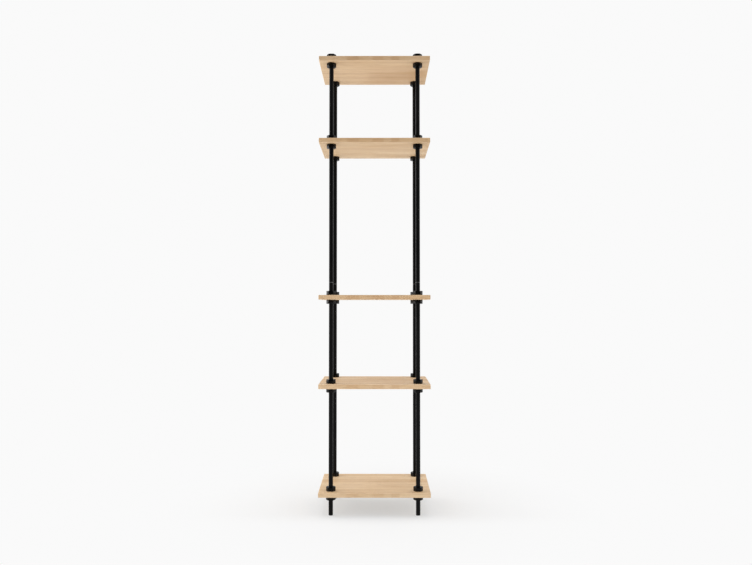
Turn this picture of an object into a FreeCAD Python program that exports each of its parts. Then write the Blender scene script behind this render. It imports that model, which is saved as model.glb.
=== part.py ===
import FreeCAD, Part
import os
import Sketcher

# Free-standing shelving unit: four round posts pass through five boards, and a hexagonal
# locking collar grips the post above and below each board. Each post is two tubes that meet
# on a joiner at half height, with a foot plug below and a cap on top. +Z is up, X is the
# width, Y the depth (front at -Y), and the origin is on the floor under the middle of the
# boards.

doc = FreeCAD.newDocument("pipe_shelving_unit")
sizes = doc.addObject("Spreadsheet::Sheet", "sizes")

driving = [
    ("shelf_width", 480),
    ("shelf_depth", 360),
    ("shelf_thickness", 20),
    ("shelf_edge_round", 2),
    ("side_overhang", 52),         # post axis to the end of the board
    ("front_overhang", 42),        # post axis to the front and back edges
    ("post_hole_clearance", 0.5),  # around the tube in a board
    ("floor_gap", 84),             # floor to the underside of the lowest board
    ("bay_one", 440),              # clear heights between boards, from the bottom
    ("bay_two", 362),
    ("bay_three", 657),
    ("bay_four", 336),
    ("tube_diameter", 19),
    ("tube_wall", 1.5),
    ("tube_end_chamfer", 0.4),
    ("post_above_collar", 1),      # how far the tube end stands above the top collars
    ("plug_clearance", 0.05),      # plugs and joiners inside the tubes
    ("foot_rim", 4),
    ("foot_stem", 20),
    ("foot_round", 1),
    ("cap_rim", 2),
    ("cap_stem", 15),
    ("cap_round", 1),
    ("joiner_rim", 1),
    ("joiner_stem", 40),
    ("stem_chamfer", 1),
    ("collar_across_flats", 36),
    ("collar_height", 18),
    ("collar_chamfer", 1),         # height that the end chamfer takes off a corner
    ("collar_chamfer_angle", 30),  # from the end face
    ("collar_corner_round", 2),
    ("collar_clearance", 0.05),    # running clearance of the bore on the tube
    ("screw_diameter", 6),
    ("screw_length", 8),
    ("screw_clearance", 0.05),
    ("screw_tip_gap", 0.05),       # the tip bears on the tube
    ("screw_tip_chamfer", 0.8),
    ("socket_across_flats", 3),
    ("socket_depth", 3.5),
]
for row, (name, value) in enumerate(driving, 1):
    sizes.set("A%d" % row, name)
    sizes.set("B%d" % row, str(value))
    sizes.setAlias("B%d" % row, name)
doc.recompute()


def size(text):
    """An expression in which every driving dimension is read from the sheet."""
    known = {name for name, value in driving}
    return " ".join("sizes." + word if word in known else word for word in text.split())


# Positions that several pieces share.
post_x = "( shelf_width / 2 - side_overhang )"
post_y = "( shelf_depth / 2 - front_overhang )"
undersides = ["floor_gap"]
for bay in ("bay_one", "bay_two", "bay_three", "bay_four"):
    undersides.append(undersides[-1] + " + shelf_thickness + " + bay)
tube_top = undersides[-1] + " + shelf_thickness + collar_height + post_above_collar"
tube_length = "( " + tube_top + " - foot_rim - joiner_rim ) / 2"
upper_tube_start = "foot_rim + " + tube_length + " + joiner_rim"
tube_radius = "tube_diameter / 2"
stem_radius = "( tube_diameter / 2 - tube_wall - plug_clearance )"
posts = {
    "front_left": (-1, -1),
    "front_right": (1, -1),
    "back_left": (-1, 1),
    "back_right": (1, 1),
}

nodes = []


def place(item, x="0", y="0", z="0"):
    for axis, text in (("x", x), ("y", y), ("z", z)):
        item.setExpression("Placement.Base." + axis, size(text))


def add_body(label):
    body = doc.addObject("PartDesign::Body", label)
    body.Label = label
    return body


def add_sketch(body, name, plane="XY_Plane", lift=None):
    """A sketch on one of the body's own planes, moved along the plane's normal by lift."""
    sketch = body.newObject("Sketcher::SketchObject", name)
    origin_plane = [f for f in body.Origin.OriginFeatures if f.Role == plane][0]
    sketch.AttachmentSupport = (origin_plane, [""])
    sketch.MapMode = "FlatFace"
    if lift:
        sketch.setExpression("AttachmentOffset.Base.z", size(lift))
    return sketch


def bind(sketch, text, *constraint):
    """Adds a dimension and ties it to the sheet."""
    index = sketch.addConstraint(Sketcher.Constraint(*constraint))
    sketch.setExpression("Constraints[%d]" % index, size(text))


def add_circle(sketch, diameter, x=None, y=None, x_side=1, y_side=1):
    """A circle whose centre lies x and y from the origin, on the given sides of it."""
    centre = FreeCAD.Vector(10 * x_side if x else 0, 10 * y_side if y else 0, 0)
    circle = sketch.addGeometry(Part.Circle(centre, FreeCAD.Vector(0, 0, 1), 5), False)
    bind(sketch, diameter, "Diameter", circle, 5)
    for text, side, kind, across in ((x, x_side, "DistanceX", -2), (y, y_side, "DistanceY", -1)):
        if text is None:
            sketch.addConstraint(Sketcher.Constraint("PointOnObject", circle, 3, across))
        elif side > 0:
            bind(sketch, text, kind, -1, 1, circle, 3, 10)
        else:
            bind(sketch, text, kind, circle, 3, -1, 1, 10)
    return circle


def add_outline(sketch, corners):
    """A closed outline of straight lines. Each corner is a pair of expressions in the
    sketch's own x and y, with a number beside each that puts the first guess near it."""
    points = [FreeCAD.Vector(x_guess, y_guess, 0) for x, x_guess, y, y_guess in corners]
    count = len(points)
    lines = [
        sketch.addGeometry(Part.LineSegment(points[i], points[(i + 1) % count]), False)
        for i in range(count)
    ]
    for i in range(count):
        before = lines[i - 1]
        sketch.addConstraint(Sketcher.Constraint("Coincident", before, 2, lines[i], 1))
    for line, (x, x_guess, y, y_guess) in zip(lines, corners):
        for text, guess, kind, axis in ((x, x_guess, "DistanceX", -2), (y, y_guess, "DistanceY", -1)):
            if text == "0":
                sketch.addConstraint(Sketcher.Constraint("PointOnObject", line, 1, axis))
            elif guess > 0:
                bind(sketch, text, kind, -1, 1, line, 1, guess)
            else:
                bind(sketch, text, kind, line, 1, -1, 1, -guess)


def add_hexagon(sketch, across_flats, guess, y=None):
    """A hexagon with two of its flats level, centred on the origin or at y above it. The
    guess is a first radius for its corners."""
    middle = FreeCAD.Vector(0, 9 if y else 0, 0)
    corners = [middle + FreeCAD.Vector(guess, 0, 0)]
    turn = FreeCAD.Rotation(FreeCAD.Vector(0, 0, 1), 60)
    for _ in range(5):
        corners.append(middle + turn.multVec(corners[-1] - middle))
    ring = sketch.addGeometry(Part.Circle(middle, FreeCAD.Vector(0, 0, 1), guess), True)
    bind(sketch, across_flats + " / cos(30)", "Diameter", ring, 2 * guess)
    sketch.addConstraint(Sketcher.Constraint("PointOnObject", ring, 3, -2))
    if y:
        bind(sketch, y, "DistanceY", -1, 1, ring, 3, 9)
    else:
        sketch.addConstraint(Sketcher.Constraint("PointOnObject", ring, 3, -1))
    flats = [
        sketch.addGeometry(Part.LineSegment(corners[i], corners[(i + 1) % 6]), False)
        for i in range(6)
    ]
    for i in range(6):
        sketch.addConstraint(Sketcher.Constraint("Coincident", flats[i - 1], 2, flats[i], 1))
        sketch.addConstraint(Sketcher.Constraint("PointOnObject", flats[i], 1, ring))
    for i in range(5):
        sketch.addConstraint(Sketcher.Constraint("Equal", flats[i], flats[i + 1]))
    sketch.addConstraint(Sketcher.Constraint("Horizontal", flats[1]))


def add_pad(body, sketch, length, reverse=False):
    pad = body.newObject("PartDesign::Pad", sketch.Name + "_pad")
    pad.Profile = sketch
    pad.setExpression("Length", size(length))
    pad.Reversed = reverse
    doc.recompute()
    return pad


def add_pocket(body, sketch, length, reverse=False):
    """A pocket that is checked to have taken material away."""
    before = body.Shape.Volume
    pocket = body.newObject("PartDesign::Pocket", sketch.Name + "_pocket")
    pocket.Profile = sketch
    pocket.setExpression("Length", size(length))
    pocket.Reversed = reverse
    doc.recompute()
    if not body.Shape.Volume < before:
        raise RuntimeError(pocket.Label + " cuts nothing")
    return pocket


def add_revolution(body, sketch, kind="Revolution"):
    turned = body.newObject("PartDesign::" + kind, sketch.Name + "_turned")
    turned.Profile = sketch
    turned.ReferenceAxis = (sketch, ["V_Axis"])
    turned.Angle = 360
    doc.recompute()
    return turned


def dress(body, kind, base, amount, wanted):
    """A fillet or chamfer on those edges of the base feature that wanted() picks."""
    names = ["Edge%d" % n for n, edge in enumerate(base.Shape.Edges, 1) if wanted(edge)]
    feature = body.newObject("PartDesign::" + kind, body.Name + "_" + kind.lower())
    feature.Base = (base, names)
    feature.setExpression("Radius" if kind == "Fillet" else "Size", size(amount))
    doc.recompute()
    return feature


def is_straight(edge):
    return isinstance(edge.Curve, (Part.Line, Part.LineSegment))


def is_upright(edge):
    return is_straight(edge) and edge.BoundBox.ZLength > edge.Length / 2


# Boards: a rectangle with four post holes, its outer edges eased.
def make_shelf(label, underside):
    body = add_body(label)
    sketch = add_sketch(body, label + "_outline")
    width, depth = "shelf_width / 2", "shelf_depth / 2"
    add_outline(sketch, [
        (width, -240, depth, -180), (width, 240, depth, -180),
        (width, 240, depth, 180), (width, -240, depth, 180),
    ])
    for x_side, y_side in posts.values():
        hole = "tube_diameter + 2 * post_hole_clearance"
        add_circle(sketch, hole, post_x, post_y, x_side, y_side)
    board = add_pad(body, sketch, "shelf_thickness")
    dress(body, "Fillet", board, "shelf_edge_round", is_straight)
    place(body, z=underside)
    nodes.append(body)


# Tubes: two to a post.
def make_tube(label, x, y, start):
    body = add_body(label)
    sketch = add_sketch(body, label + "_ring")
    add_circle(sketch, "tube_diameter")
    add_circle(sketch, "tube_diameter - 2 * tube_wall")
    tube = add_pad(body, sketch, tube_length)
    outer = max(edge.Curve.Radius for edge in tube.Shape.Edges if not is_straight(edge))
    dress(body, "Chamfer", tube, "tube_end_chamfer",
          lambda edge: not is_straight(edge) and edge.Curve.Radius == outer)
    place(body, x, y, start)
    nodes.append(body)


# Joiner: a turned bar with a thin rim that the two tubes meet on. Its own z = 0 is the
# underside of the rim.
def make_joiner(label, x, y):
    body = add_body(label)
    sketch = add_sketch(body, label + "_profile", "XZ_Plane")
    end = stem_radius + " - stem_chamfer"
    add_outline(sketch, [
        ("0", 0, "joiner_stem", -40), (end, 7, "joiner_stem", -40),
        (stem_radius, 8, "joiner_stem - stem_chamfer", -39), (stem_radius, 8, "0", 0),
        (tube_radius, 9, "0", 0), (tube_radius, 9, "joiner_rim", 1),
        (stem_radius, 8, "joiner_rim", 1),
        (stem_radius, 8, "joiner_rim + joiner_stem - stem_chamfer", 40),
        (end, 7, "joiner_rim + joiner_stem", 41), ("0", 0, "joiner_rim + joiner_stem", 41),
    ])
    add_revolution(body, sketch)
    place(body, x, y, "foot_rim + " + tube_length)
    nodes.append(body)


# Plugs: a stem in the tube and a rim as wide as the tube, rounded where it shows. A foot
# has its rim below z = 0, a cap above it.
def make_plug(label, x, y, z, rim, stem, rounding, side):
    body = add_body(label)
    sketch = add_sketch(body, label + "_profile", "XZ_Plane")
    end = stem_radius + " - stem_chamfer"
    add_outline(sketch, [
        ("0", 0, rim, side * 4), (tube_radius, 9, rim, side * 4), (tube_radius, 9, "0", 0),
        (stem_radius, 8, "0", 0), (stem_radius, 8, stem + " - stem_chamfer", -side * 14),
        (end, 7, stem, -side * 15), ("0", 0, stem, -side * 15),
    ])
    plug = add_revolution(body, sketch)
    tip = side * max(side * vertex.Z for vertex in plug.Shape.Vertexes)
    dress(body, "Fillet", plug, rounding,
          lambda edge: not is_straight(edge) and abs(edge.Curve.Center.z - tip) < 1e-6)
    place(body, x, y, z)
    nodes.append(body)


# Collar: a piece of hexagonal bar, bored for the tube and turned at both ends, so that the
# chamfers only take its corners. One flat faces the front, and the screw that grips the
# tube goes in through the flat at the back.
def make_collar():
    body = add_body("collar")
    outline = add_sketch(body, "collar_outline")
    add_hexagon(outline, "collar_across_flats", 20)
    add_circle(outline, "tube_diameter + 2 * collar_clearance")
    bar = add_pad(body, outline, "collar_height")
    dress(body, "Fillet", bar, "collar_corner_round", is_upright)
    ends = add_sketch(body, "collar_ends", "XZ_Plane")
    corner = "collar_across_flats / cos(30) / 2"
    face = corner + " - collar_chamfer / tan( collar_chamfer_angle )"
    add_outline(ends, [
        (face, 19, "0", 0), (corner, 21, "0", 0), (corner, 21, "collar_chamfer", 1),
    ])
    top = "collar_height"
    add_outline(ends, [
        (face, 19, top, 18), (corner, 21, top + " - collar_chamfer", 17), (corner, 21, top, 18),
    ])
    add_revolution(body, ends, "Groove")
    hole = add_sketch(body, "collar_screw_hole", "XZ_Plane")
    add_circle(hole, "screw_diameter", y="collar_height / 2")
    add_pocket(body, hole, "collar_across_flats")
    return body


# Grub screw: a short bar in the collar's hole, with a hexagon socket outside and a
# chamfered tip against the tube.
def make_screw():
    body = add_body("grub_screw")
    tip = "( tube_diameter / 2 + screw_tip_gap )"
    bar = add_sketch(body, "grub_screw_bar", "XZ_Plane", "- " + tip)
    add_circle(bar, "screw_diameter - 2 * screw_clearance", y="collar_height / 2")
    pad = add_pad(body, bar, "screw_length", reverse=True)
    nearest = min(edge.Curve.Center.y for edge in pad.Shape.Edges if not is_straight(edge))
    dress(body, "Chamfer", pad, "screw_tip_chamfer",
          lambda edge: not is_straight(edge) and abs(edge.Curve.Center.y - nearest) < 1e-6)
    socket = add_sketch(body, "grub_screw_socket", "XZ_Plane", "- " + tip + " - screw_length")
    add_hexagon(socket, "socket_across_flats", 2, y="collar_height / 2")
    add_pocket(body, socket, "socket_depth", reverse=True)
    return body


def copy_to_posts(source):
    """Links that repeat a piece at the four posts."""
    copies = []
    for post, (x_side, y_side) in posts.items():
        link = doc.addObject("App::Link", source.Name + "_" + post)
        link.LinkedObject = source
        place(link, "%d * %s" % (x_side, post_x), "%d * %s" % (y_side, post_y))
        copies.append(link)
    return copies


def make_set(label, copies, z):
    """One node that holds the four copies of a piece at one height."""
    group = doc.addObject("Part::Compound", label)
    group.Label = label
    group.Links = copies
    place(group, z=z)
    nodes.append(group)


shelf_names = ["shelf_1_bottom", "shelf_2", "shelf_3", "shelf_4", "shelf_5_top"]
collars = copy_to_posts(make_collar())
screws = copy_to_posts(make_screw())
for shelf_name, underside in zip(shelf_names, undersides):
    make_shelf(shelf_name, underside)
    for side, z in (("below", underside + " - collar_height"), ("above", underside + " + shelf_thickness")):
        make_set("collars_%s_%s" % (side, shelf_name), collars, z)
        make_set("collar_screws_%s_%s" % (side, shelf_name), screws, z)

for post, (x_side, y_side) in posts.items():
    x = "%d * %s" % (x_side, post_x)
    y = "%d * %s" % (y_side, post_y)
    make_tube("post_%s_lower" % post, x, y, "foot_rim")
    make_tube("post_%s_upper" % post, x, y, upper_tube_start)
    make_joiner("joiner_%s" % post, x, y)
    make_plug("foot_%s" % post, x, y, "foot_rim", "foot_rim", "foot_stem", "foot_round", -1)
    make_plug("cap_%s" % post, x, y, tube_top, "cap_rim", "cap_stem", "cap_round", 1)

doc.recompute()
for item in doc.Objects:
    if "Invalid" in item.State or "Error" in item.State:
        raise RuntimeError(item.Label + " failed: " + str(item.State))
for node in nodes:
    if node.Shape.isNull() or not node.Shape.isValid():
        raise RuntimeError(node.Label + " has no valid shape")

os.makedirs("parts", exist_ok=True)
for node in nodes:
    node.Shape.exportStep("parts/%s.step" % node.Label)
print(len(nodes), "nodes written")
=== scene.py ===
import bmesh
import bpy
import math
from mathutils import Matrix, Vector


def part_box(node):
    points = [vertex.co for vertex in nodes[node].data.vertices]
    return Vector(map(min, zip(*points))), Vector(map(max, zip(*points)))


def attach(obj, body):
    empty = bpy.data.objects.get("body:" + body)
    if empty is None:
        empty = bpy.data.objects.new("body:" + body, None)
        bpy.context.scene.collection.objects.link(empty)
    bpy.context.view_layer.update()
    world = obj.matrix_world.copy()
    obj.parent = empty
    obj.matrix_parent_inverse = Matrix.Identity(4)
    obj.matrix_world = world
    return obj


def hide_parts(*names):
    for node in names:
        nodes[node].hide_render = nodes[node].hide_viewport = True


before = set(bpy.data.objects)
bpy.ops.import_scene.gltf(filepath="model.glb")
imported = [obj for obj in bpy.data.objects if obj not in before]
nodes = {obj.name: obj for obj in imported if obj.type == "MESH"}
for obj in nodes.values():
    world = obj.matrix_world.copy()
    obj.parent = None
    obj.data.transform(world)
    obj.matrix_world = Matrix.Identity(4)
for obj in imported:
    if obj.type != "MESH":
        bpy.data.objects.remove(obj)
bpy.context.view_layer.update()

scene = bpy.context.scene
shelfNames = sorted(name for name in nodes if name.startswith("shelf_"))
postNames = sorted(name for name in nodes if name.startswith("post_"))
print("frame loaded:", len(nodes), "nodes,", len(shelfNames), "boards")


class Wire:  # a socket in a node tree, so that sums on it read as ordinary sums
    def __init__(self, tree, socket=None):
        self.tree, self.socket = tree, socket

    def node(self, kind, settings=(), inputs=(), output=0):
        made = self.tree.nodes.new(kind)
        for name, value in dict(settings).items():
            setattr(made, name, value)
        for name, value in dict(inputs).items():
            if isinstance(value, Wire):
                self.tree.links.new(value.socket, made.inputs[name])
            else:
                made.inputs[name].default_value = value
        return Wire(self.tree, made.outputs[output] if made.outputs else None)

    def also(self, output):  # another output of the same node
        return Wire(self.tree, self.socket.node.outputs[output])

    def sum(self, operation, *values):
        return self.node("ShaderNodeMath", {"operation": operation}, enumerate(values))

    def __add__(self, other):
        return self.sum("ADD", self, other)

    def __radd__(self, other):
        return self.sum("ADD", other, self)

    def __sub__(self, other):
        return self.sum("SUBTRACT", self, other)

    def __rsub__(self, other):
        return self.sum("SUBTRACT", other, self)

    def __mul__(self, other):
        return self.sum("MULTIPLY", self, other)

    def __rmul__(self, other):
        return self.sum("MULTIPLY", other, self)

    def __truediv__(self, other):
        return self.sum("DIVIDE", self, other)

    def __pow__(self, other):
        return self.sum("POWER", self, other)

    def __abs__(self):
        return self.sum("ABSOLUTE", self)

    def step(self, low, high):  # a soft step from 0 to 1
        return self.node("ShaderNodeMapRange", {"interpolation_type": "SMOOTHSTEP"},
                         {"Value": self, "From Min": low, "From Max": high})

    def axes(self):
        split = self.node("ShaderNodeSeparateXYZ", inputs={"Vector": self})
        return split, split.also("Y"), split.also("Z")

    def noise(self, scale, detail, roughness, shift=(0, 0, 0)):
        moved = self.node("ShaderNodeMapping", inputs={"Vector": self, "Location": shift, "Scale": scale})
        return self.node("ShaderNodeTexNoise",
                         inputs={"Vector": moved, "Scale": 1.0, "Detail": detail, "Roughness": roughness})

    def blend(self, first, second, mode="MIX"):  # self is how much of the second
        return self.node("ShaderNodeMix", {"data_type": "RGBA", "blend_type": mode},
                         {0: self, 6: first, 7: second}, output=2)


def newMaterial(name):
    material = bpy.data.materials.new(name)
    material.use_nodes = True
    material.node_tree.nodes.clear()
    return material, Wire(material.node_tree)


def finishMaterial(start, colour, roughness, height, depth, **fixed):  # fixed: what is the same all over
    bump = start.node("ShaderNodeBump", inputs={"Height": height, "Distance": depth, "Strength": 1.0})
    inputs = {**fixed, "Base Color": colour, "Roughness": roughness, "Normal": bump}
    skin = start.node("ShaderNodeBsdfPrincipled", inputs=inputs)
    start.node("ShaderNodeOutputMaterial", inputs={"Surface": skin})


def dress(name, material):
    for materialSlot in nodes[name].material_slots:
        materialSlot.material = material


# the posts' places, read from the frame
lowFoot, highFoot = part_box("foot_front_right")
postX = (lowFoot.x + highFoot.x) / 2
postY = -(lowFoot.y + highFoot.y) / 2
print("posts stand at +-%.3f, +-%.3f" % (postX, postY))

oakBoard = {
    "halfLength": 0.24,
    "staveWidth": 0.060,                  # staves glued side by side across the depth
    "firstStave": 10.5,                   # shifts the glue lines across the board
    "staveShift": 0.31,                   # and from one board to the next
    "glueLine": (0.0005, 0.0001),         # how far from a stave's edge its glue line starts, and is full
    "ringPitch": 0.0046,
    "pithAside": 0.055,                   # width of the band under a stave in which its pith lies
    "pithBelow": 0.016,                   # least depth of the pith, and how much deeper it may lie
    "pithSpread": 0.05,
    "ringSway": 0.034,
    "ringFlutter": 0.0035,
    # noises: bumps to a metre along the length, depth and thickness, then detail and roughness
    "sway": ((1.7, 11, 11), 3, 0.55),
    "flutter": ((9, 60, 60), 2, 0.5),
    "dash": ((26, 1500, 1500), 1, 0.4),
    "streak": ((1.3, 75, 75), 3, 0.6),
    "cloud": ((4.2, 19, 19), 2, 0.5),
    "fleck": ((150, 420, 60), 1, 0.5),
    # tones, and how much of its tone each part of the figure takes
    "pale": (0.845, 0.638, 0.410, 1),
    "honey": (0.685, 0.460, 0.245, 1),
    "cream": (0.900, 0.745, 0.560, 1),
    "ringTone": (0.545, 0.335, 0.175, 1),
    "poreTone": (0.330, 0.195, 0.100, 1),
    "fleckTone": (0.880, 0.725, 0.530, 1),
    "heartAndShadeTone": (0.545, 0.330, 0.172, 1),
    "endTone": (0.800, 0.760, 0.700, 1),  # what end grain is multiplied by
    "takes": {"stave": 0.6, "cloud": 1.5, "streak": 0.45, "early": 0.20, "late": 0.14, "pores": 0.44,
              "glueLine": 0.20, "fleck": 0.20, "rub": 0.20, "arris": 0.32},
    # darker spots along the front face, at the same places on every board: middle and half length of each
    # spot
    "frontSpots": ((-0.093, 0.030), (0.015, 0.028), (0.090, 0.020)),
    "gloss": 1.38,
    "roughness": 0.54,
    "roughBy": {"cloud": 0.10, "pores": 0.18, "fleck": 0.10, "ends": 0.12, "rub": 0.06},
    "grainDepth": 0.00028,
    "heightBy": {"streak": 0.25, "late": 0.25, "pores": 0.9, "fleck": 0.1, "glueLine": 0.5},
    "rubAndShadeRadius": 0.0215,                  # where a collar presses and slides, and painted contact shade darkens the wood
    "rubAndShadeBand": (0.001, 0.004),            # how far inside and outside of that the rubbing and the painted shade fade
    "patchSway": 0.03,                    # how far a dark patch's long edges wander
}
boardTimber = {
    # honey: how dark the board starts; lively: how strong the figure is; drift: how much it darkens
    # to the right; edge: the front face's painted tone and how much of it, painted shade that grows toward
    # the top board and a paler painted front on the lowest; spots: how strong its front spots are; patches:
    # darker patches, each with its middle, half length, half width and amount
    "shelf_1_bottom": {"honey": 0.03, "lively": 1.0, "drift": 0.00, "edge": ("cream", 0.18), "spots": 0.6,
                       "darkPatches": ()},
    # shelf_2's patch runs the whole length along the front posts' line: a painted shadow of the posts and
    # collars
    "shelf_2": {"honey": 0.20, "lively": 1.3, "drift": 0.00, "edge": ("heartAndShadeTone", 0.27), "spots": 0.8,
                "darkPatches": ((0.0, -0.150, 0.250, 0.030, 0.20),)},
    "shelf_3": {"honey": 0.20, "lively": 1.3, "drift": 0.00, "edge": ("heartAndShadeTone", 0.32), "spots": 1.0,
                "darkPatches": ()},
    "shelf_4": {"honey": 0.13, "lively": 1.4, "drift": 0.00, "edge": ("heartAndShadeTone", 0.32), "spots": 1.25,
                "darkPatches": ((0.08, 0.120, 0.100, 0.030, 0.12),)},
    "shelf_5_top": {"honey": 0.20, "lively": 1.5, "drift": 0.22, "edge": ("heartAndShadeTone", 0.43), "spots": 1.2,
                    "darkPatches": ((0.095, 0.085, 0.150, 0.120, 0.30), (0.055, 0.062, 0.140, 0.013, 0.26))},
}


def makeOak(name, middle, seed):
    timber, takes = boardTimber[name], oakBoard["takes"]
    lively = timber["lively"]
    material, start = newMaterial("oiled_oak_" + name)
    place = start.node("ShaderNodeTexCoord", output="Object")
    plank = start.node("ShaderNodeMapping", inputs={"Vector": place, "Location": (0, 0, -middle)})
    x, y, z = plank.axes()
    shift = (seed * 3.1, seed * 1.7, seed * 0.9)

    staveAt = y / oakBoard["staveWidth"] + (oakBoard["firstStave"] + oakBoard["staveShift"] * seed)
    stave = staveAt.sum("FLOOR", staveAt)
    chance = start.node("ShaderNodeTexWhiteNoise", {"noise_dimensions": "1D"}, {"W": stave + seed * 7.3},
                        output="Color")
    tint, aside, deep = chance.axes()
    fromMiddle = (staveAt - stave - 0.5) * oakBoard["staveWidth"]

    # growth rings about a pith that lies off each stave, drawn out along the board
    sway = plank.noise(*oakBoard["sway"], shift)
    flutter = plank.noise(*oakBoard["flutter"], shift)
    across = fromMiddle + (aside - 0.5) * oakBoard["pithAside"]
    down = z + oakBoard["pithBelow"] + deep * oakBoard["pithSpread"]
    fromPith = (across * across + down * down) ** 0.5
    ringWay = fromPith + (sway - 0.5) * oakBoard["ringSway"] + (flutter - 0.5) * oakBoard["ringFlutter"]
    ringCount = ringWay / oakBoard["ringPitch"]
    turn = ringCount.sum("FRACT", ringCount)
    early = turn.step(0.02, 0.18) * (1 - turn.step(0.30, 0.85))
    late = turn.step(0.55, 0.98)

    dash = plank.noise(*oakBoard["dash"], shift)
    pores = dash.step(0.56, 0.68) * (0.25 + 0.75 * early)
    streak = plank.noise(*oakBoard["streak"], shift)
    cloud = plank.noise(*oakBoard["cloud"], shift)
    fleck = plank.noise(*oakBoard["fleck"], shift).step(0.64, 0.76)
    halfStave = oakBoard["staveWidth"] / 2
    lineStart, lineFull = oakBoard["glueLine"]
    glueLine = abs(fromMiddle).step(halfStave - lineStart, halfStave - lineFull)

    toHoney = (tint * takes["stave"] + (cloud - 0.5) * (takes["cloud"] * lively)
               + x * (timber["drift"] / oakBoard["halfLength"]) + timber["honey"])
    colour = toHoney.blend(oakBoard["pale"], oakBoard["honey"])
    colour = (streak.step(0.46, 0.78) * (takes["streak"] * lively)).blend(colour, oakBoard["ringTone"])
    colour = (early * takes["early"] + late * takes["late"]).blend(colour, oakBoard["ringTone"])
    colour = (pores * takes["pores"] + glueLine * takes["glueLine"]).blend(colour, oakBoard["poreTone"])
    colour = (fleck * takes["fleck"]).blend(colour, oakBoard["fleckTone"])

    # darker patches; the one along shelf_2's front posts' line is a painted shadow
    for centreX, centreY, halfX, halfY, amount in timber["darkPatches"]:
        alongIt = abs(x - centreX) / halfX
        acrossIt = abs(y - centreY + (sway - 0.5) * oakBoard["patchSway"]) / halfY
        inside = 1 - alongIt.sum("MAXIMUM", alongIt, acrossIt).step(0.55, 1.10)
        colour = (inside * (0.5 + streak) * amount).blend(colour, oakBoard["heartAndShadeTone"])

    # the front edge, the eased edges round the board, and the ends
    toEnd, toFront, toTop = start.node("ShaderNodeTexCoord", output="Normal").axes()
    edge = (0 - toFront).step(0.80, 0.97)
    frontSpotMask = None
    # darker spots on the front face, at the same places along every board
    for centre, half in oakBoard["frontSpots"]:
        spot = 1 - abs(x - centre).step(half * 0.60, half * 1.15)
        frontSpotMask = spot if frontSpotMask is None else frontSpotMask + spot
    paintedFrontTone, paintedFrontAmount = timber["edge"]
    # painted shade and light on the front face: darker on the higher boards, a paler cream on the lowest
    colour = (edge * paintedFrontAmount).blend(colour, oakBoard[paintedFrontTone])
    colour = (frontSpotMask * edge * (0.24 + 0.5 * streak) * timber["spots"]).blend(colour, oakBoard["heartAndShadeTone"])
    # painted highlight: the eased edges are toned toward cream, lighter as lit edges are
    arris = abs(toTop).step(0.15, 0.35) * (1 - abs(toTop).step(0.90, 0.99))
    colour = (arris * takes["arris"]).blend(colour, oakBoard["cream"])
    ends = abs(toEnd).step(0.55, 0.9)
    colour = ends.blend(colour, ends.blend(colour, oakBoard["endTone"], "MULTIPLY"))

    # painted contact shade: the wood round each post is darkened where the collars sit; the smoother finish
    # there is real rubbing
    aroundX, aroundY = abs(x) - postX, abs(y) - postY
    around = (aroundX * aroundX + aroundY * aroundY) ** 0.5
    rubAndShadeInside, rubAndShadeOutside = oakBoard["rubAndShadeBand"]
    rub = 1 - around.step(oakBoard["rubAndShadeRadius"] - rubAndShadeInside, oakBoard["rubAndShadeRadius"] + rubAndShadeOutside)
    colour = (rub * takes["rub"]).blend(colour, oakBoard["heartAndShadeTone"])

    rough, raised = oakBoard["roughBy"], oakBoard["heightBy"]
    roughness = (oakBoard["roughness"] + (cloud - 0.5) * rough["cloud"] + pores * rough["pores"]
                 - fleck * rough["fleck"] + ends * rough["ends"] - rub * rough["rub"])
    height = (streak * raised["streak"] + late * raised["late"] - pores * raised["pores"]
              + fleck * raised["fleck"] - glueLine * raised["glueLine"])
    finishMaterial(start, colour, roughness, height, oakBoard["grainDepth"], IOR=oakBoard["gloss"])
    return material


for seed, name in enumerate(shelfNames):
    low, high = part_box(name)
    dress(name, makeOak(name, (low.z + high.z) / 2, seed + 1))
print("boards finished in oiled oak")

blackPowder = {
    "film": (0.0014, 0.0014, 0.0016, 1),
    "thin": (0.0058, 0.0056, 0.0054, 1),  # where the film is a little thinner
    "scuff": (0.0220, 0.0210, 0.0200, 1),
    "worn": (0.060, 0.058, 0.056, 1),     # rubbed corners
    "scuffTakes": 0.45,
    "wornTakes": 0.75,
    "wornBand": (0.0009, 0.0001),         # how far inside a corner the wear starts, and is full
    "gloss": 1.20,
    "roughness": 0.30,
    "roughBy": {"drift": 0.10, "rubbed": 0.07, "grit": 0.05, "worn": 0.08},
    "peelDepth": 0.00015,
    "gritShare": 0.25,                    # of the peel's height
    # noises, in bumps to a metre
    "peel": 760,
    "grit": 2600,
    "drift": (14, 14, 4),
    "chip": (240, 240, 160),
    "tubeWear": (260, 260, 2.2),
    "collarWear": (900, 900, 40),
}


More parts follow.
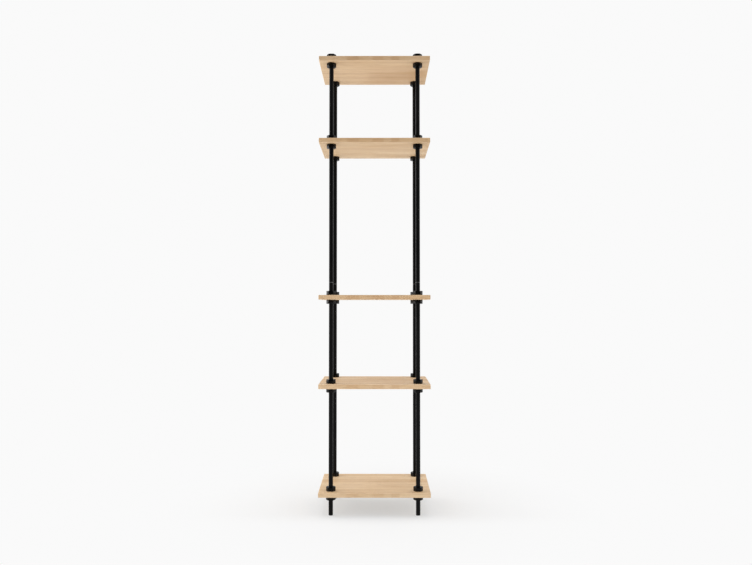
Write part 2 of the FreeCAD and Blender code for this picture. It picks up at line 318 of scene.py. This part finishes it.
def makePowder(name, wear, wornRadius=None):  # wear: its noise, drawn out along the piece
    rough = blackPowder["roughBy"]
    material, start = newMaterial(name)
    place = start.node("ShaderNodeTexCoord", output="Object")
    peel = place.noise((blackPowder["peel"],) * 3, 2, 0.5)
    grit = place.noise((blackPowder["grit"],) * 3, 1, 0.5)
    drift = place.noise(blackPowder["drift"], 2, 0.5)
    rubbed = place.noise(wear, 3, 0.6)
    scuff = place.noise(wear, 2, 0.5, (5, 3, 8)).step(0.66, 0.74)
    thinness = drift.step(0.35, 0.75) * 0.6 + grit.step(0.6, 0.8) * 0.4
    colour = thinness.blend(blackPowder["film"], blackPowder["thin"])
    colour = (scuff * blackPowder["scuffTakes"]).blend(colour, blackPowder["scuff"])
    roughness = (blackPowder["roughness"] + (drift - 0.5) * rough["drift"]
                 - rubbed.step(0.52, 0.75) * rough["rubbed"] + (grit - 0.5) * rough["grit"])
    if wornRadius:
        x, y, _ = place.axes()
        aroundX, aroundY = abs(x) - postX, abs(y) - postY
        around = (aroundX * aroundX + aroundY * aroundY) ** 0.5
        chip = place.noise(blackPowder["chip"], 3, 0.65)
        wearStart, wearFull = blackPowder["wornBand"]
        worn = around.step(wornRadius - wearStart, wornRadius - wearFull) * chip.step(0.46, 0.66)
        colour = (worn * blackPowder["wornTakes"]).blend(colour, blackPowder["worn"])
        roughness = roughness - worn * rough["worn"]
    finishMaterial(start, colour, roughness, peel + grit * blackPowder["gritShare"],
                   blackPowder["peelDepth"], IOR=blackPowder["gloss"])
    return material


tubePaint = makePowder("black_powder_tube", blackPowder["tubeWear"])
for name in postNames:
    dress(name, tubePaint)
print("tubes powder coated")

turnedSteel = {
    "colour": (0.36, 0.36, 0.355, 1),
    "dull": (0.25, 0.245, 0.235, 1),
    "roughness": 0.34,
    "lines": (30, 30, 5200),              # from the lathe, to a metre round and along the joiner
    "lineDepth": 0.00003,
    "stain": (130, 130, 130),
}


def makeSteel():
    material, start = newMaterial("turned_steel")
    place = start.node("ShaderNodeTexCoord", output="Object")
    lines = place.noise(turnedSteel["lines"], 2, 0.6)
    stain = place.noise(turnedSteel["stain"], 3, 0.6)
    colour = stain.step(0.4, 0.75).blend(turnedSteel["colour"], turnedSteel["dull"])
    roughness = turnedSteel["roughness"] + (stain - 0.5) * 0.22 + (lines - 0.5) * 0.12
    finishMaterial(start, colour, roughness, lines, turnedSteel["lineDepth"], Metallic=1.0)
    return material


blackOxide = {
    "colour": (0.050, 0.050, 0.053, 1),
    "brown": (0.085, 0.066, 0.050, 1),
    "roughness": 0.38,
    "turned": (1900, 300, 1900),          # tool marks round the screw, to a metre
    "turnedDepth": 0.00003,
    "bloom": (420, 420, 420),
}


def makeOxide():
    material, start = newMaterial("black_oxide")
    place = start.node("ShaderNodeTexCoord", output="Object")
    turned = place.noise(blackOxide["turned"], 2, 0.6)
    bloom = place.noise(blackOxide["bloom"], 3, 0.6)
    colour = bloom.step(0.50, 0.75).blend(blackOxide["colour"], blackOxide["brown"])
    roughness = blackOxide["roughness"] + (bloom - 0.5) * 0.20
    finishMaterial(start, colour, roughness, turned, blackOxide["turnedDepth"], Metallic=1.0)
    return material


plugPlastic = {
    "colour": (0.0045, 0.0045, 0.0048, 1),
    "dusty": (0.0150, 0.0145, 0.0138, 1),
    "roughness": 0.52,
    "gloss": 1.36,
    "grain": (1500, 1500, 1500),          # noises, in bumps to a metre
    "grainDepth": 0.00008,
    "dust": (90, 90, 90),
}


def makePlastic():
    material, start = newMaterial("moulded_plastic")
    place = start.node("ShaderNodeTexCoord", output="Object")
    grain = place.noise(plugPlastic["grain"], 2, 0.6)
    dust = place.noise(plugPlastic["dust"], 3, 0.6)
    colour = (dust.step(0.45, 0.8) * 0.6).blend(plugPlastic["colour"], plugPlastic["dusty"])
    roughness = plugPlastic["roughness"] + (dust - 0.5) * 0.12 + (grain - 0.5) * 0.08
    finishMaterial(start, colour, roughness, grain, plugPlastic["grainDepth"], IOR=plugPlastic["gloss"])
    return material


steel, plastic = makeSteel(), makePlastic()
for name in nodes:
    if name.startswith("joiner_"):
        dress(name, steel)
    if name.startswith(("foot_", "cap_")):
        dress(name, plastic)
print("joiners, feet and caps finished")

collarSize = {
    "acrossFlats": 0.036,
    "height": 0.018,
    "bore": 0.0191,
    "cornerRound": 0.002,
    "cornerSteps": 4,
    "flatSteps": 8,
    "endChamfer": 0.001,       # height taken off a corner when the ends are turned
    "chamferAngle": 30,
    "boreEase": 0.0004,
    "screwHole": 0.006,
    "holeSides": 32,
    "softEdge": 0.00018,
    "softAngle": 28,           # edges sharper than this are softened
    "sharpAngle": 40,          # and those still sharper than this shade as edges
    "wornInset": 0.0003,
}


def stack(bm, rings, closed=True):  # quads between rings of points, and from the last to the first
    made = [[bm.verts.new(point) for point in ring] for ring in rings]
    count = len(made[0])
    for one, two in zip(made, made[1:] + (made[:1] if closed else [])):
        for i in range(count):
            bm.faces.new((one[i], one[(i + 1) % count], two[(i + 1) % count], two[i]))
    return made


def meshObject(name, bm):
    bmesh.ops.remove_doubles(bm, verts=bm.verts, dist=1e-7)
    bmesh.ops.dissolve_degenerate(bm, edges=bm.edges, dist=1e-8)
    bmesh.ops.recalc_face_normals(bm, faces=bm.faces)
    mesh = bpy.data.meshes.new(name)
    bm.to_mesh(mesh)
    bm.free()
    made = bpy.data.objects.new(name, mesh)
    scene.collection.objects.link(made)
    return made


def makeCollarBlank():  # hexagon bar with eased corners, bored, its ends turned
    half, ease = collarSize["acrossFlats"] / 2, collarSize["cornerRound"]
    slope = math.tan(math.radians(collarSize["chamferAngle"]))
    face = half / math.cos(math.pi / 6) - collarSize["endChamfer"] / slope
    outline = []

    def toward(turn):
        return Vector((math.cos(turn), math.sin(turn)))

    for corner in range(6):
        way = math.radians(60 * corner)
        centre = toward(way) * (half - ease) / math.cos(math.pi / 6)
        for i in range(collarSize["cornerSteps"] + 1):
            turn = way + math.radians(-30 + 60 * i / collarSize["cornerSteps"])
            outline.append(centre + toward(turn) * ease)
        after = way + math.radians(60)
        nextArc = toward(after) * (half - ease) / math.cos(math.pi / 6)
        nextArc += toward(after - math.pi / 6) * ease
        here, flatSteps = outline[-1].copy(), collarSize["flatSteps"]
        outline += [here.lerp(nextArc, i / flatSteps) for i in range(1, flatSteps)]

    def ring(radius, z):
        return [(*(point.normalized() * radius), z) for point in outline]

    def side(top, outer):  # the turned end meets the flats along a curve
        points = []
        for point in outline:
            reach = point.length if outer else min(point.length, face)
            drop = max(0, (point.length - face) * slope) if outer else 0
            points.append((*(point.normalized() * reach), collarSize["height"] - drop if top else drop))
        return points

    bore, top, soft = collarSize["bore"] / 2, collarSize["height"], collarSize["boreEase"]
    bm = bmesh.new()
    stack(bm, [ring(bore, soft), ring(bore + soft, 0), side(False, False), side(False, True),
               side(True, True), side(True, False), ring(bore + soft, top), ring(bore, top - soft)])
    return meshObject("collar_blank", bm)


screwSize = {
    "diameter": 0.0059,
    "length": 0.008,
    "tip": 0.00955,            # from the post's axis, just off the tube
    "tipChamfer": 0.0008,
    "endChamfer": 0.0004,
    "socket": 0.003,
    "socketChamfer": 0.0002,
    "socketDepth": 0.0035,
    "drillPoint": 0.0004,      # the socket's floor dips this much
    "centre": 0.02,            # flat in the middle of both ends, as a share of the radius
    "steps": 24,
    "softEdge": 0,
    "sharpAngle": 30,
}


def makeScrewBlank():  # grub screw that points at the post, with a hexagon socket outside
    steps, radius = screwSize["steps"], screwSize["diameter"] / 2
    inner, outer = screwSize["tip"], screwSize["tip"] + screwSize["length"]
    middle = collarSize["height"] / 2

    def ring(radius, y, hexagon=False):
        points = []
        for i in range(steps):
            turn = 2 * math.pi * i / steps
            reach = radius
            if hexagon:
                reach = radius / math.cos((turn + math.pi / 6) % (math.pi / 3) - math.pi / 6)
            points.append((reach * math.cos(turn), y, middle + reach * math.sin(turn)))
        return points

    centre, key = radius * screwSize["centre"], screwSize["socket"] / 2
    tipEase, endEase, keyEase = screwSize["tipChamfer"], screwSize["endChamfer"], screwSize["socketChamfer"]
    socketFloor = outer - screwSize["socketDepth"]
    bm = bmesh.new()
    made = stack(bm, [
        ring(centre, inner), ring(radius - tipEase, inner), ring(radius, inner + tipEase),
        ring(radius, outer - endEase), ring(radius - endEase, outer),
        ring(key + keyEase, outer, True), ring(key, outer - keyEase, True), ring(key, socketFloor, True),
        ring(centre, socketFloor - screwSize["drillPoint"])], closed=False)
    bm.faces.new(made[0])
    bm.faces.new(made[-1])
    return meshObject("screw_blank", bm)


def makeFourPostTree(name, bored):  # repeats a blank at the four posts, below and above a board
    tree = bpy.data.node_groups.new(name, "GeometryNodeTree")
    face = tree.interface
    face.new_socket("Geometry", in_out="OUTPUT", socket_type="NodeSocketGeometry")
    for label, kind in (("Blank", "Object"), ("Post X", "Float"), ("Post Y", "Float"),
                        ("Lower Level", "Float"), ("Upper Level", "Float"),
                        ("Screw Hole", "Float"), ("Finish", "Material")):
        face.new_socket(label, in_out="INPUT", socket_type="NodeSocket" + kind)
    start = Wire(tree)
    given = start.node("NodeGroupInput")
    blank = start.node("GeometryNodeObjectInfo", {"transform_space": "ORIGINAL"},
                       {"Object": given.also("Blank")}, output="Geometry")
    if bored:
        reach = collarSize["acrossFlats"]
        drill = start.node("GeometryNodeMeshCylinder", output="Mesh", inputs={
            "Vertices": collarSize["holeSides"], "Radius": given.also("Screw Hole") / 2, "Depth": reach})
        drill = start.node("GeometryNodeTransform", inputs={
            "Geometry": drill, "Translation": (0, reach / 2, collarSize["height"] / 2),
            "Rotation": (math.pi / 2, 0, 0)})
        blank = start.node("GeometryNodeMeshBoolean", {"operation": "DIFFERENCE", "solver": "EXACT"},
                           {"Mesh 1": blank, "Mesh 2": drill})
    corners = start.node("GeometryNodeMeshGrid", output="Mesh", inputs={
        "Size X": given.also("Post X") * 2, "Size Y": given.also("Post Y") * 2,
        "Vertices X": 2, "Vertices Y": 2})
    levels = []
    for level in ("Lower Level", "Upper Level"):
        lift = start.node("ShaderNodeCombineXYZ", inputs={"Z": given.also(level)})
        levels.append(start.node("GeometryNodeTransform", inputs={"Geometry": corners, "Translation": lift}))
    joined = start.node("GeometryNodeJoinGeometry")
    for level in reversed(levels):
        tree.links.new(level.socket, joined.socket.node.inputs["Geometry"])
    placed = start.node("GeometryNodeInstanceOnPoints", inputs={"Points": joined, "Instance": blank})
    solid = start.node("GeometryNodeRealizeInstances", inputs={"Geometry": placed})
    finished = start.node("GeometryNodeSetMaterial",
                          inputs={"Geometry": solid, "Material": given.also("Finish")})
    start.node("NodeGroupOutput", inputs={"Geometry": finished})
    return tree


def placeSet(label, shelf, tree, blank, finish, size, levels):
    carrier = bpy.data.objects.new(label + "_maker", bpy.data.meshes.new(label))
    scene.collection.objects.link(carrier)
    make = carrier.modifiers.new("four posts", "NODES")
    make.node_group = tree
    values = {"Blank": blank, "Post X": postX, "Post Y": postY,
              "Lower Level": levels[0], "Upper Level": levels[1],
              "Screw Hole": collarSize["screwHole"], "Finish": finish}
    for item in tree.interface.items_tree:
        if item.in_out == "INPUT":
            make[item.identifier] = values[item.name]
    if size["softEdge"]:
        bevel = carrier.modifiers.new("soft edges", "BEVEL")
        bevel.width, bevel.segments, bevel.limit_method = size["softEdge"], 2, "ANGLE"
        bevel.angle_limit = math.radians(size["softAngle"])
        bevel.use_clamp_overlap = True
    graph = bpy.context.evaluated_depsgraph_get()
    mesh = bpy.data.meshes.new_from_object(carrier.evaluated_get(graph))
    mesh.name = label
    mesh.shade_smooth()
    mesh.set_sharp_from_angle(angle=math.radians(size["sharpAngle"]))
    piece = bpy.data.objects.new(label, mesh)
    scene.collection.objects.link(piece)
    bpy.data.objects.remove(carrier)
    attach(piece, shelf)
    return piece


collarPaint = makePowder("black_powder_collar", blackPowder["collarWear"],
                         collarSize["acrossFlats"] / 2 / math.cos(math.pi / 6) - collarSize["wornInset"])
oxide = makeOxide()
collarBlank, screwBlank = makeCollarBlank(), makeScrewBlank()
collarTree = makeFourPostTree("collars at four posts", True)
screwTree = makeFourPostTree("screws at four posts", False)
for shelf in shelfNames:
    low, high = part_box(shelf)
    levels = (low.z - collarSize["height"], high.z)
    collars = placeSet("collars_" + shelf, shelf, collarTree, collarBlank, collarPaint, collarSize, levels)
    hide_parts("collars_below_" + shelf, "collars_above_" + shelf)
    screws = placeSet("screws_" + shelf, shelf, screwTree, screwBlank, oxide, screwSize, levels)
    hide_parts("collar_screws_below_" + shelf, "collar_screws_above_" + shelf)
for blank in (collarBlank, screwBlank):
    bpy.data.objects.remove(blank)
print("collars and screws placed,", len(collars.data.polygons), "faces to a board's eight collars")

backdrop = {
    "floorRadius": 9.0,
    "floorDrop": 0.0006,       # keeps the floor just clear of the feet
    "white": 0.955,
    "shade": 0.52,             # how much of the lit floor shows near the unit, the rest is plain white
    "nearRadius": 0.30,
    "farRadius": 1.05,
    "frontStart": 0.12,        # in front of the feet the lit floor fades sooner
    "frontEnd": 0.29,
    "frontFade": 0.75,
    "albedo": 0.86,
    "mottle": 0.03,
    "mottleSize": (40, 40, 40),
    "coolRadius": (0.08, 0.38),  # near the unit the paper is painted a little cool, to cancel the warm light bounced off the lowest board
    "coolBy": (0.13, 0.05, 0.03),  # less red, less green, more blue
    "roughness": 0.85,
    "specular": 0.2,
}


def makeFloor():
    bm = bmesh.new()
    bmesh.ops.create_circle(bm, cap_ends=True, segments=96, radius=backdrop["floorRadius"])
    bmesh.ops.translate(bm, verts=bm.verts, vec=(0, 0, -backdrop["floorDrop"]))
    floor = meshObject("studio_floor", bm)
    material, start = newMaterial("studio_floor")
    place = start.node("ShaderNodeTexCoord", output="Object")
    x, y, _ = place.axes()
    away = (x * x + y * y) ** 0.5
    ray = start.node("ShaderNodeLightPath", output="Is Camera Ray")
    seen = ray.sum("MAXIMUM", ray, ray.also("Is Glossy Ray"))
    seen = ray.sum("MAXIMUM", seen, ray.also("Is Transmission Ray"))
    near = 1 - away.step(backdrop["nearRadius"], backdrop["farRadius"])
    near = near * (1 - backdrop["frontFade"] * (0 - y).step(backdrop["frontStart"], backdrop["frontEnd"]))
    bright = seen * (1 - backdrop["shade"] * near)
    mottle = place.noise(backdrop["mottleSize"], 3, 0.6)
    tone = (mottle - 0.5) * backdrop["mottle"] + backdrop["albedo"]
    # painted colour against bounced light: the floor near the unit is tinted cool
    paintedCool = 1 - away.step(*backdrop["coolRadius"])
    lessRed, lessGreen, moreBlue = backdrop["coolBy"]
    paper = start.node("ShaderNodeCombineColor", inputs={
        "Red": tone * (1 - lessRed * paintedCool), "Green": tone * (1 - lessGreen * paintedCool),
        "Blue": tone * (1 + moreBlue * paintedCool)})
    matt = start.node("ShaderNodeBsdfPrincipled", inputs={
        "Base Color": paper, "Roughness": backdrop["roughness"], "Specular IOR Level": backdrop["specular"]})
    glow = start.node("ShaderNodeEmission", inputs={"Color": (1, 1, 1, 1), "Strength": backdrop["white"]})
    mixed = start.node("ShaderNodeMixShader", inputs={0: bright, 1: matt, 2: glow})
    start.node("ShaderNodeOutputMaterial", inputs={"Surface": mixed})
    floor.data.materials.append(material)
    return floor


studio = {
    "around": 0.86,            # the room's own light
    "front": 0.06,             # and what is left of it on the camera's side
    "frontFrom": 0.68,         # -Y part of the direction at which that side starts, and is full
    "frontFull": 0.95,
    "lamps": {                 # place, what it points at, width, height, radiance
        "ceiling_softbox": ((0.0, 0.3, 4.2), (0, 0, 0.9), 2.6, 2.2, 1.3),
        "left_fill": ((-2.6, -0.05, 1.45), (0, 0, 1.0), 0.4, 2.2, 7.5),
        "left_softbox": ((-2.35, 1.35, 1.7), (0, 0, 1.1), 1.0, 2.2, 3.0),
        "right_softbox": ((2.6, 1.2, 1.6), (0, 0, 1.1), 0.9, 2.0, 0.8),
        "low_front_fill": ((0.0, -2.4, 0.3), (0, 0, 0.2), 2.2, 0.5, 4.0),
    },
}


def makeWorld():
    world = bpy.data.worlds.new("studio")
    scene.world = world
    world.use_nodes = True
    world.node_tree.nodes.clear()
    start = Wire(world.node_tree)
    y = start.node("ShaderNodeTexCoord", output="Generated").axes()[1]
    frontSide = (0 - y).step(studio["frontFrom"], studio["frontFull"])
    ray = start.node("ShaderNodeLightPath", output="Is Camera Ray")
    shiny = ray.sum("MAXIMUM", ray.also("Is Glossy Ray"), ray.also("Is Transmission Ray"))
    room = studio["around"] + shiny * (backdrop["white"] - studio["around"])
    room = room + frontSide * (studio["front"] - room)
    level = room + ray * (backdrop["white"] - room)
    glow = start.node("ShaderNodeBackground", inputs={"Color": (1, 1, 1, 1), "Strength": level})
    start.node("ShaderNodeOutputWorld", inputs={"Surface": glow})


def makeLamps(floor):
    apart = bpy.data.collections.new("floor out of the left fill")
    apart.objects.link(floor)
    apart.collection_objects[0].light_linking.link_state = "EXCLUDE"
    for name, (place, target, width, height, radiance) in studio["lamps"].items():
        lamp = bpy.data.lights.new(name, "AREA")
        lamp.shape, lamp.size, lamp.size_y = "RECTANGLE", width, height
        lamp.energy = radiance * math.pi * width * height
        holder = bpy.data.objects.new(name, lamp)
        holder.location = place
        holder.rotation_euler = (Vector(target) - Vector(place)).to_track_quat("-Z", "Y").to_euler()
        holder.visible_camera = False
        holder.visible_glossy = "fill" not in name   # fills give no reflections
        scene.collection.objects.link(holder)
        if name == "left_fill":                      # it lights the unit's left side, not the floor
            holder.light_linking.receiver_collection = apart


makeWorld()
makeLamps(makeFloor())
print("floor, room light and softboxes set")

view = {
    "place": (0.01872, -3.35295, 0.90880),
    "lookUp": 1.632,           # degrees above level
    "turn": 0.2165,            # degrees to the left
    "lens": 35.492,
    "sensor": 36,
    "nearest": 0.05,
    "farthest": 60,
}
lens = bpy.data.cameras.new("camera")
lens.lens, lens.sensor_width = view["lens"], view["sensor"]
lens.clip_start, lens.clip_end = view["nearest"], view["farthest"]
camera = bpy.data.objects.new("camera", lens)
camera.location = view["place"]
camera.rotation_euler = (math.radians(90 + view["lookUp"]), 0, math.radians(view["turn"]))
scene.collection.objects.link(camera)
scene.camera = camera
scene.view_settings.view_transform = "Standard"
print("camera set")
